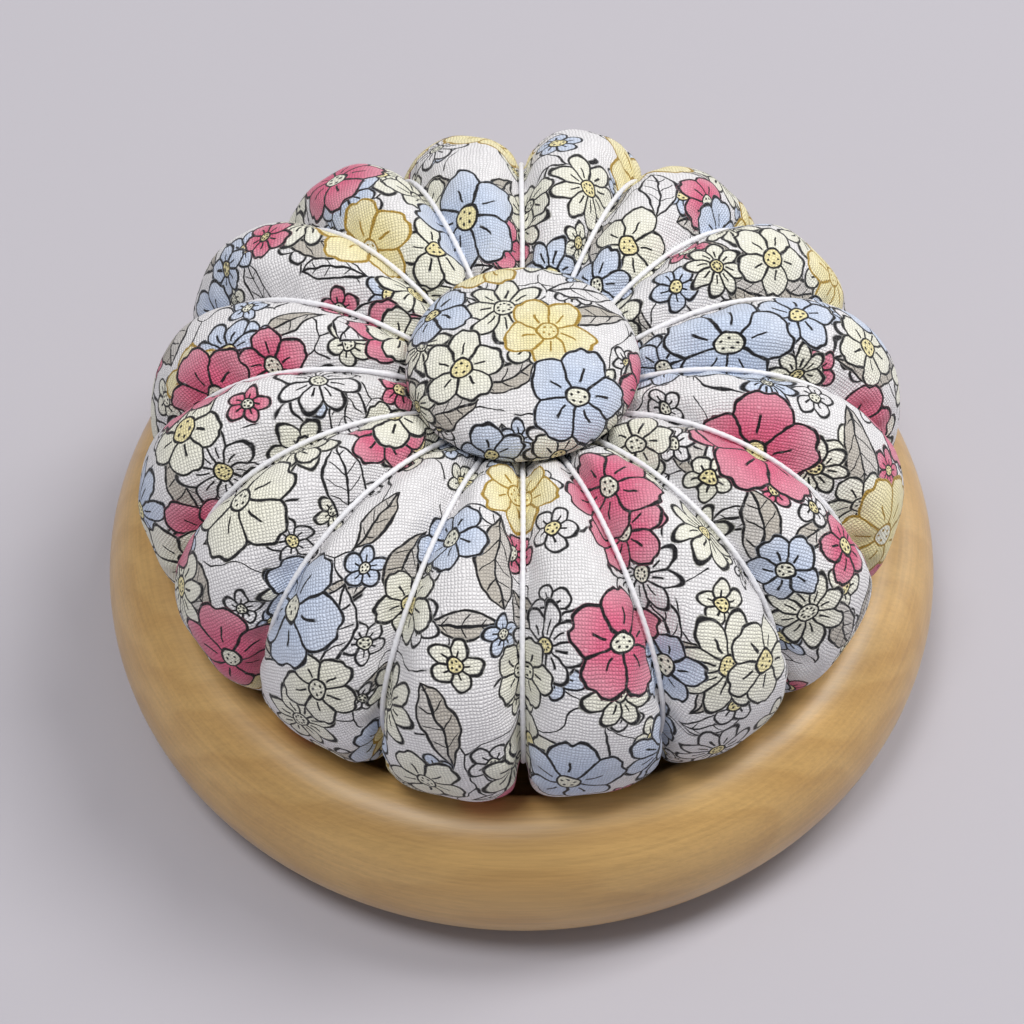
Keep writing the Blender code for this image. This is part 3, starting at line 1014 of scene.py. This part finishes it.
@dataclass
class Cushion:
    """The stuffed cotton ring, drawn into lobes by the thread in its grooves."""

    lobes: int = 16
    outer_radius: float = 0.0352
    height: float = 0.0276
    lobe_rise: float = 0.0038
    lobe_fade: float = 1.9
    lobe_roundness: float = 0.56
    pressed_roundness: float = 0.17
    groove_half: float = 0.00034
    groove_most: float = 0.9
    tunnel_radius: float = 0.00277
    bottom: float = 0.0107
    rows: int = 84
    edge_row: int = 4
    lobe_columns: int = 17
    least_reach: float = 0.0005
    uneven: float = 0.07
    uneven_waves: Waves = ((2.4, 0.7, 1.0), (4.1, 2.0, 0.6))
    pressed_from: float = 2.3
    pressed_over: float = 1.2
    bulge: float = 0.35
    bulge_angle: float = 1.0
    bulge_spread: float = 0.22
    lump: float = 0.00022
    lump_waves: int = 14
    lump_rows: tuple[int, int] = (3, 9)
    lump_turns: tuple[int, int] = (9, 44)
    lump_edge: int = 8
    pucker: float = 0.00035
    pucker_length: float = 0.0034
    pucker_reach: float = 0.22
    pucker_edge: int = 24
    pucker_beat: Span = (2.0, 4.0)
    pucker_mean: float = 0.55
    pucker_swing: float = 0.45
    seed: int = 5
    held_across: float = 0.995
    held_tunnel: float = 0.25
    cloth_scale: float = 20.0
    cloth_frames: int = 20
    cloth_quality: int = 5
    cloth_pressure: float = 4.0
    cloth_shrink: float = -0.02
    cloth_bending: float = 0.4
    cloth_cap: float = 0.0007
    resting_gap: float = 0.00018

    @property
    def half_pitch(self) -> float:
        """Angle from a groove to the middle of a lobe."""
        return math.pi / self.lobes

    def section(self, angle: np.ndarray, swell: np.ndarray) -> tuple[np.ndarray, np.ndarray]:
        """Radius and height on the groove's ellipse, pushed outwards by swell.

        Args:
            angle: From 0 in the tunnel, over the top at a quarter turn, to the outside.
            swell: How far to push outwards.

        Returns:
            Radius and height, each of the arguments' shape.
        """
        groove_outer = self.outer_radius - self.lobe_rise
        centre = (groove_outer + self.tunnel_radius) / 2
        half_width = (groove_outer - self.tunnel_radius) / 2
        rise_at_top = self.lobe_rise * math.sin(math.pi / 4) ** self.lobe_fade
        half_height = self.height / 2 - rise_at_top
        radius = centre - (half_width + swell) * np.cos(angle)
        level = self.bottom + self.height / 2 + (half_height + swell) * np.sin(angle)
        return radius, level

    def grid(self) -> tuple[np.ndarray, np.ndarray, np.ndarray]:
        """Section angles, lobe numbers and places across a lobe from -1 to 1.

        Returns:
            Angle as a column, then lobe and place across as rows.
        """
        angle = circle(self.rows)[:, None]
        share = np.linspace(-0.5, 0.5, self.lobe_columns)
        across = np.tile(np.sin(math.pi * share), self.lobes)[None]
        lobe = np.repeat(np.arange(self.lobes), self.lobe_columns)[None]
        return angle, lobe, across

    def surface(self) -> np.ndarray:
        """Points of the lobed ring.

        A lobe stands over its grooves by the rise, times a power of sin(angle / 2) that
        fades it into the tunnel, times a power of 1 - across squared, which is nearly a
        half round, and squarer where the dish presses the lobes together. Each lobe's
        rise differs a little, and all swell where the button presses on them.

        Returns:
            Rows by columns by 3.
        """
        angle, lobe, across = self.grid()
        own = 1 + self.uneven * ripple(lobe, self.uneven_waves)
        fade = np.abs(np.sin(angle / 2)) ** self.lobe_fade
        pressed = np.clip((angle - self.pressed_from) / self.pressed_over, 0, 1)
        pressed = 0.5 - 0.5 * np.cos(math.pi * pressed)
        roundness = self.lobe_roundness + (self.pressed_roundness - self.lobe_roundness) * pressed
        bulged = 1 + self.bulge * np.exp(-(((angle - self.bulge_angle) / self.bulge_spread) ** 2))
        swell = self.lobe_rise * own * fade * bulged * (1 - across**2) ** roundness
        radius, level = self.section(angle, swell)
        groove_radius, _ = self.section(angle, np.zeros_like(angle))
        half_groove = np.minimum(self.groove_half / groove_radius, self.half_pitch * self.groove_most)
        turn = (2 * lobe + 1) * self.half_pitch + across * (self.half_pitch - half_groove)
        return turned(radius, turn, level)

    def flat_cloth(self, points: np.ndarray) -> np.ndarray:
        """Flat coordinates of the cloth, as if it were smoothed out round the button.

        The distance from the middle is the length along a groove's side, and the angle
        goes across each lobe by the length over its crown, so the print isn't stretched.

        Args:
            points: The lobed ring.

        Returns:
            Rows by columns by 2, in metres.
        """
        _, lobe, _ = self.grid()
        steps = np.linalg.norm(np.diff(points, axis=0, append=points[:1]), axis=-1).mean(1)
        length = np.cumsum(steps) - steps
        by_lobe = points.reshape(self.rows, self.lobes, self.lobe_columns, 3)
        over = np.linalg.norm(np.diff(by_lobe, axis=2), axis=-1)
        over = np.concatenate([np.zeros_like(over[:, :, :1]), np.cumsum(over, 2)], 2)
        share = (over / over[:, :, -1:] * 2 - 1).reshape(self.rows, -1)
        turn = (2 * lobe + 1 + share) * self.half_pitch
        reach = np.maximum(length - length[self.edge_row] + self.tunnel_radius, self.least_reach)
        return turned(reach[:, None], turn, 0.0)[..., :2]

    def relief(self, points: np.ndarray) -> np.ndarray:
        """How far stuffing and gathers push the cloth out or in.

        Slow waves stand for lumps of stuffing, and short waves along each groove, which
        die out within two millimetres of it, for the gathers that the thread makes.

        Args:
            points: The lobed ring.

        Returns:
            Rows by columns, in metres.
        """
        angle, lobe, across = self.grid()
        draw = np.random.default_rng(self.seed)
        turn = np.arctan2(points[..., 1], points[..., 0])
        lumps = np.zeros(points.shape[:2])
        for _ in range(self.lump_waves):
            rows, turns = draw.integers(*self.lump_rows), draw.integers(*self.lump_turns)
            first, second = draw.uniform(0, TAU, 2)
            lumps += np.sin(rows * angle + first) * np.sin(turns * turn + second)
        lumps /= math.sqrt(self.lump_waves)
        radius, level = self.section(angle, np.zeros_like(angle))
        girth = np.hypot(np.gradient(radius, axis=0), np.gradient(level, axis=0)).sum()
        groove = (lobe + (across > 0)) % self.lobes
        phase = draw.uniform(0, TAU, self.lobes)[groove]
        beat = draw.uniform(*self.pucker_beat, self.lobes)[groove]
        waves = np.sin(angle / TAU * girth / self.pucker_length * TAU + phase)
        waves = waves * (self.pucker_mean + self.pucker_swing * np.sin(beat * angle + 2 * phase))
        near = np.exp(-(((1 - np.abs(across)) / self.pucker_reach) ** 2))
        near = near * (1 - np.abs(across) ** self.pucker_edge)
        return self.lump * lumps * (1 - across**self.lump_edge) + self.pucker * waves * near

    def inflate(self, piece: bpy.types.Object) -> None:
        """Blow the cloth up under pressure, held in its grooves, and keep the result.

        The mesh is enlarged while the cloth runs, because the solver suits large cloth.
        A point may move no further than the cap.

        Args:
            piece: The cushion, which is changed.
        """
        mesh = piece.data
        rest = np.empty(len(mesh.vertices) * 3)
        mesh.vertices.foreach_get("co", rest)
        mesh.vertices.foreach_set("co", rest * self.cloth_scale)
        hold = piece.vertex_groups.new(name="grooves")
        angle, _, across = self.grid()
        columns = np.flatnonzero(np.abs(across[0]) > self.held_across)
        tunnel = np.flatnonzero(np.abs(np.sin(angle[:, 0] / 2)) < self.held_tunnel)
        index = np.arange(len(mesh.vertices)).reshape(self.rows, -1)
        held = np.unique(np.concatenate([index[:, columns].ravel(), index[tunnel].ravel()]))
        hold.add(held.tolist(), 1.0, "REPLACE")
        cloth = piece.modifiers.new("cloth", "CLOTH")
        settings = cloth.settings
        settings.quality = self.cloth_quality
        settings.vertex_group_mass = "grooves"
        settings.use_pressure = True
        settings.uniform_pressure_force = self.cloth_pressure
        settings.effector_weights.gravity = 0.0
        settings.shrink_min = self.cloth_shrink
        settings.bending_stiffness = self.cloth_bending
        cloth.point_cache.frame_end = self.cloth_frames
        scene = bpy.context.scene
        for step in range(1, self.cloth_frames + 1):
            scene.frame_set(step)
        blown = piece.evaluated_get(bpy.context.evaluated_depsgraph_get()).data
        after = np.empty(len(rest))
        blown.vertices.foreach_get("co", after)
        piece.modifiers.remove(cloth)
        scene.frame_set(1)
        move = (after / self.cloth_scale - rest).reshape(-1, 3)
        far = np.linalg.norm(move, axis=1, keepdims=True)
        LOG.info("cloth moved %.2f mm at most", far.max() / MM)
        move *= np.minimum(1.0, self.cloth_cap / np.maximum(far, TINY))
        mesh.vertices.foreach_set("co", rest + move.ravel())
        mesh.update()

    def settle(self, piece: bpy.types.Object, dish: "WoodenBase", button: "Button") -> None:
        """Flatten the cloth where it meets the glue, the dish's lip and the button.

        A point is lifted to the glue's top, drawn in to the dish's wall at its own
        height and pressed down to the button's underside at its own radius, each less
        the resting gap.

        Args:
            piece: The cushion, which is changed.
            dish: The dish round it.
            button: The button on it.
        """
        points = np.empty(len(piece.data.vertices) * 3)
        piece.data.vertices.foreach_get("co", points)
        points = points.reshape(-1, 3)
        _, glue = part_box("glue_pad")
        level = np.maximum(points[:, 2], glue.z + self.resting_gap)
        radius = np.hypot(points[:, 0], points[:, 1])
        wall = dish.mouth()
        limit = np.interp(level, wall[:, 1], wall[:, 0]) - self.resting_gap
        drawn = np.where(level < dish.height, np.minimum(radius, limit), radius)
        ceiling = button.underside(drawn) - self.resting_gap
        upper = level > self.bottom + self.height / 2
        under = upper & (drawn < button.radius) & (drawn > button.opening)
        points[:, 2] = np.where(under, np.minimum(level, ceiling), level)
        points[:, :2] *= (drawn / radius)[:, None]
        piece.data.vertices.foreach_set("co", points.ravel())
        piece.data.update()

    def build(self, dish: "WoodenBase", button: "Button") -> None:
        """Make the cushion, blow it up, settle it, smooth it and dress it.

        Args:
            dish: The dish round it.
            button: The button on it.
        """
        points = self.surface()
        flat = self.flat_cloth(points)
        points = points + outward(points) * self.relief(points)[..., None]
        piece = grid_piece("cushion", points, flat, close_rows=True)
        self.inflate(piece)
        self.settle(piece, dish, button)
        finer = piece.modifiers.new("finer", "SUBSURF")
        finer.levels = 1
        finer.render_levels = 1
        finer.uv_smooth = "SMOOTH_ALL"
        dress(piece, CottonFinish(), "printed_cotton", "cushion_cover", "cushion_filling")


@dataclass
class Winding:
    """The white thread: one loop in each groove, laid from twisted plies."""

    cushion: Cushion
    radius: float = 0.00025
    seat: float = 0.00033
    plies: int = 2
    ply_depth: float = 0.15
    twist_length: float = 0.0017
    rings: int = 440
    sides: int = 12
    wander: float = 0.00007
    wander_waves: int = 3
    wander_step: float = 1.9

    def loop(self, groove: int) -> tuple[np.ndarray, np.ndarray]:
        """One loop of thread: a twisted round carried along the groove's ellipse.

        The round's radius is one less a dip between plies, and the dips turn with the
        length along the thread. The loop wanders a little to either side.

        Args:
            groove: Number of the groove.

        Returns:
            Points, rings by sides by 3, and their flat coordinates.
        """
        angle = circle(self.rings)[:, None]
        around = circle(self.sides)[None]
        radius, level = self.cushion.section(angle, np.full_like(angle, self.seat))
        step = np.hypot(np.diff(radius, axis=0, append=radius[:1]),
                        np.diff(level, axis=0, append=level[:1]))
        length = np.cumsum(step, 0) - step
        twist = length / step.sum() * TAU * round(float(step.sum()) / self.twist_length)
        dip = 1 - np.abs(np.cos(self.plies / 2 * (around - twist)))
        thick = self.radius * (1 - self.ply_depth * dip)
        slope_r, slope_z = np.gradient(radius, axis=0), np.gradient(level, axis=0)
        scale = np.hypot(slope_r, slope_z)
        out_r, out_z = -slope_z / scale, slope_r / scale
        sway = np.sin(self.wander_waves * angle + self.wander_step * groove)
        aside = self.wander * sway * np.sin(angle / 2) ** 2
        push = thick * np.cos(around)
        far = radius + out_r * push
        high = level + out_z * push
        side = thick * np.sin(around) + aside
        turn = groove * TAU / self.cushion.lobes
        points = np.stack([far * math.cos(turn) - side * math.sin(turn),
                           far * math.sin(turn) + side * math.cos(turn), high], -1)
        flat = np.stack(np.broadcast_arrays(length, around * self.radius), -1)
        return points, flat

    def build(self) -> None:
        """Make and dress every loop."""
        for groove in range(self.cushion.lobes):
            number = f"{groove + 1:02d}"
            points, flat = self.loop(groove)
            piece = grid_piece(f"thread_{number}", points, flat, close_rows=True)
            dress(piece, THREAD, "white_thread", f"thread_loop_{number}")


@dataclass
class Button:
    """The covered button: cotton drawn over a dome and gathered beneath."""

    radius: float = 0.0106
    crown: float = 0.0046
    belly: float = 0.0026
    fullness: float = 2.25
    opening: float = 0.0063
    top_angle: float = 0.02
    rows: int = 72
    columns: int = 144
    uneven: float = 0.010
    uneven_waves: Waves = ((2, 0.4, 1.0), (3, 2.1, 0.6))
    uneven_inset: float = 1.2
    gathers: int = 22
    gather_depth: float = 0.00022
    gather_power: float = 1.5
    cloth: float = 0.0003
    print_offset: Span = (0.031, 0.018)

    def middle(self) -> float:
        """Height at which the button is widest."""
        _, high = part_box("button_cover")
        return high.z - self.crown

    def underside(self, radius: np.ndarray) -> np.ndarray:
        """Height of the button's underside at a radius: a superellipse's lower half."""
        share = np.clip(radius / self.radius, 0, 1)
        return self.middle() - self.belly * (1 - share**self.fullness) ** (1 / self.fullness)

    def surface(self) -> np.ndarray:
        """Points of the button from its top to the edge of the cloth beneath, and in.

        Round and height are those of a superellipse, a little uneven round the edge;
        beneath, the cloth gathers into folds that deepen towards the opening.

        Returns:
            Rows by columns by 3.
        """
        edge_angle = math.pi - math.asin((self.opening / self.radius) ** (self.fullness / 2))
        down = np.linspace(self.top_angle, edge_angle, self.rows)[:, None]
        turn = circle(self.columns)[None]
        power = 2 / self.fullness
        out = np.sin(down) ** power
        rise = np.sign(np.cos(down)) * np.abs(np.cos(down)) ** power
        edge = 1 + self.uneven * (ripple(turn, self.uneven_waves) - self.uneven_inset)
        fold = np.clip((down - math.pi / 2) / (math.pi / 2), 0, 1) ** self.gather_power
        radius = self.radius * out * edge
        level = self.middle() + np.where(rise > 0, self.crown, self.belly) * rise
        level = level + self.gather_depth * fold * np.abs(np.sin(self.gathers / 2 * turn))
        return turned(radius, turn, level)

    def build(self) -> None:
        """Make and dress the button's cloth."""
        points = self.surface()
        step = np.linalg.norm(np.diff(points, axis=0, prepend=points[:1]), axis=-1).mean(1)
        reach = (np.cumsum(step) + np.hypot(*points[0, 0, :2]))[:, None]
        flat = turned(reach, circle(self.columns)[None], 0.0)[..., :2] + np.array(self.print_offset)
        piece = grid_piece("button", points, flat, cap_first=True)
        wall = piece.modifiers.new("cloth_thickness", "SOLIDIFY")
        wall.thickness = self.cloth
        wall.offset = -1.0
        dress(piece, CottonFinish(), "printed_cotton", "button_cover")


@dataclass
class WoodenBase:
    """The turned dish that the cushion is glued into."""

    height: float = 0.0160
    widest_height: float = 0.0075
    rim_width: float = 0.0064
    lip_round: float = 0.0024
    lip_drop: float = 0.0016
    foot_round: float = 0.0070
    floor: float = 0.0096
    floor_radius: float = 0.0189
    cap_radius: float = 0.004
    steps: int = 22
    columns: int = 240

    def arc(self, start: Span, end: Span, upright: bool = False) -> np.ndarray:
        """Radius and height along a quarter of an ellipse.

        One of them goes by the sine of a quarter turn and the other by one less its cosine.

        Args:
            start: Radius and height where it starts.
            end: Radius and height where it ends.
            upright: Whether it starts upright, and not level.

        Returns:
            Points by 2.
        """
        quarter = np.linspace(0, math.pi / 2, self.steps)
        shares = [np.sin(quarter), 1 - np.cos(quarter)]
        if upright:
            shares.reverse()
        return np.array(start) + np.stack(shares, -1) * (np.array(end) - np.array(start))

    def mouth(self) -> np.ndarray:
        """Radius and height up the dish's wall and over its lip, each a quarter of an ellipse.

        Returns:
            Points by 2.
        """
        _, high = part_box("wooden_base")
        crest = high.x - self.rim_width
        lip_foot = (crest - self.lip_round, self.height - self.lip_drop)
        wall = self.arc((self.floor_radius, self.floor), lip_foot)
        lip = self.arc(lip_foot, (crest, self.height), upright=True)
        return np.concatenate([wall, lip[1:]])

    def profile(self) -> np.ndarray:
        """Radius and height from the dish's middle over its lip, down its side and under it.

        Side and foot are each a quarter of an ellipse.

        Returns:
            Points by 2.
        """
        _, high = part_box("wooden_base")
        widest = (high.x, self.widest_height)
        rim = self.arc((high.x - self.rim_width, self.height), widest)
        under = self.arc(widest, (high.x - self.foot_round, 0.0), upright=True)
        inner = np.array([[self.cap_radius, self.floor]])
        outer = np.array([[self.cap_radius, 0.0]])
        return np.concatenate([inner, self.mouth(), rim[1:], under[1:], outer])

    def build(self) -> None:
        """Turn and dress the base."""
        profile = self.profile()
        points = turned(profile[:, :1], circle(self.columns)[None], profile[:, 1:])
        piece = grid_piece("base", points, points[..., :2], cap_first=True, cap_last=True)
        dress(piece, WoodFinish(), "turned_wood", "wooden_base")


class InnerPieces:
    """The solids that stay as they are inside the cushion and the button."""

    finishes: dict[str, Finish] = {
        "glue_pad": GLUE,
        "button_dome": STEEL,
        "button_back": STEEL,
        "button_eye": STEEL,
        "button_tie": INNER_THREAD,
        "tie_knot": INNER_THREAD,
    }

    def build(self) -> None:
        """Give each inner solid its finish."""
        for node, finish in self.finishes.items():
            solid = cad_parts[node]
            solid.data.materials.clear()
            solid.data.materials.append(finish.material())
            LOG.info("%s: kept as it is", node)


class LampKind(Enum):
    """Kinds of lamp: a panel lights what is near it, a broad lamp the whole floor alike."""

    PANEL = "AREA"
    BROAD = "SUN"


@dataclass(frozen=True)
class Lamp:
    """A soft square lamp that points at the cushion."""

    name: str
    kind: LampKind
    place: Point
    side: float
    watts: float
    colour: Colour = (1.0, 1.0, 1.0)

    def light(self, distance: float) -> bpy.types.Light:
        """Make the lamp's light.

        A broad lamp gives, at every place, what a panel of the same side and watts
        gives at its aim: its watts over pi and the distance squared.

        Args:
            distance: From the lamp to its aim.

        Returns:
            The light.
        """
        made = bpy.data.lights.new(self.name, self.kind.value)
        made.color = self.colour
        if self.kind is LampKind.BROAD:
            made.angle = 2 * math.atan(self.side / 2 / distance)
            made.energy = self.watts / (math.pi * distance**2)
        else:
            made.shape = "SQUARE"
            made.size = self.side
            made.energy = self.watts
        return made


@dataclass
class Studio:
    """Floor, lamps, sky light and camera."""

    target: Point = (-0.00093, -0.00163, 0.01681)
    elevation: float = 54.7
    distance: float = 0.279
    focal_pixels: float = 2948.0
    sensor: float = 36.0
    clip_start: float = 0.01
    floor_side: float = 16.0
    sky: Colour = (0.97, 0.96, 1.0)
    sky_strength: float = 0.31
    lamps: tuple[Lamp, ...] = (
        Lamp("key", LampKind.PANEL, (0.62, 0.30, 1.12), side=0.46, watts=9.2,
             colour=(1.0, 0.985, 0.96)),
        Lamp("overhead", LampKind.BROAD, (-0.26, -0.12, 1.16), side=0.40, watts=5.8),
        Lamp("side", LampKind.PANEL, (1.20, 0.60, 0.30), side=0.50, watts=2.6,
             colour=(0.94, 0.98, 1.0)),
    )

    def build(self) -> None:
        """Make the studio."""
        bpy.context.scene.view_settings.view_transform = "Standard"
        self.make_floor()
        self.make_sky()
        for lamp in self.lamps:
            self.make_lamp(lamp)
        self.make_camera()

    def make_floor(self) -> None:
        """Lay the floor under the base."""
        half = self.floor_side / 2
        mesh = bpy.data.meshes.new("floor")
        corners = [(-half, -half, 0.0), (half, -half, 0.0), (half, half, 0.0), (-half, half, 0.0)]
        mesh.from_pydata(corners, [], [(0, 1, 2, 3)])
        mesh.materials.append(FloorFinish().material())
        floor = add_object("floor", mesh)

    def make_sky(self) -> None:
        """Light everything a little from all round."""
        world = bpy.data.worlds.new("studio")
        world.use_nodes = True
        back = world.node_tree.nodes["Background"]
        back.inputs["Color"].default_value = (*self.sky, 1.0)
        back.inputs["Strength"].default_value = self.sky_strength
        bpy.context.scene.world = world

    def make_lamp(self, lamp: Lamp) -> None:
        """Hang one lamp and point it at the cushion.

        Args:
            lamp: The lamp.
        """
        aim = Vector(self.target) - Vector(lamp.place)
        light = add_object(lamp.name, lamp.light(aim.length))
        light.location = lamp.place
        light.rotation_euler = aim.to_track_quat("-Z", "Y").to_euler()

    def make_camera(self) -> None:
        """Set the camera at the photograph's angle."""
        tilt = math.radians(self.elevation)
        ahead = Vector((0.0, math.cos(tilt), -math.sin(tilt)))
        data = bpy.data.cameras.new("camera")
        data.sensor_width = self.sensor
        data.lens = self.focal_pixels / IMAGE_SIDE * self.sensor
        data.clip_start = self.clip_start
        camera = add_object("camera", data)
        camera.location = Vector(self.target) - ahead * self.distance
        camera.rotation_euler = ahead.to_track_quat("-Z", "Y").to_euler()
        bpy.context.scene.camera = camera


def write_sizes() -> None:
    """Bring every object's place up to date."""
    bpy.context.view_layer.update()


def main() -> None:
    """Build and dress every piece, and set up the studio."""
    logging.basicConfig(level=logging.INFO, format="%(message)s")
    dish = WoodenBase()
    button = Button()
    cushion = Cushion()
    dish.build()
    button.build()
    cushion.build(dish, button)
    Winding(cushion).build()
    InnerPieces().build()
    Studio().build()
    write_sizes()


if __name__ == "__main__":
    main()
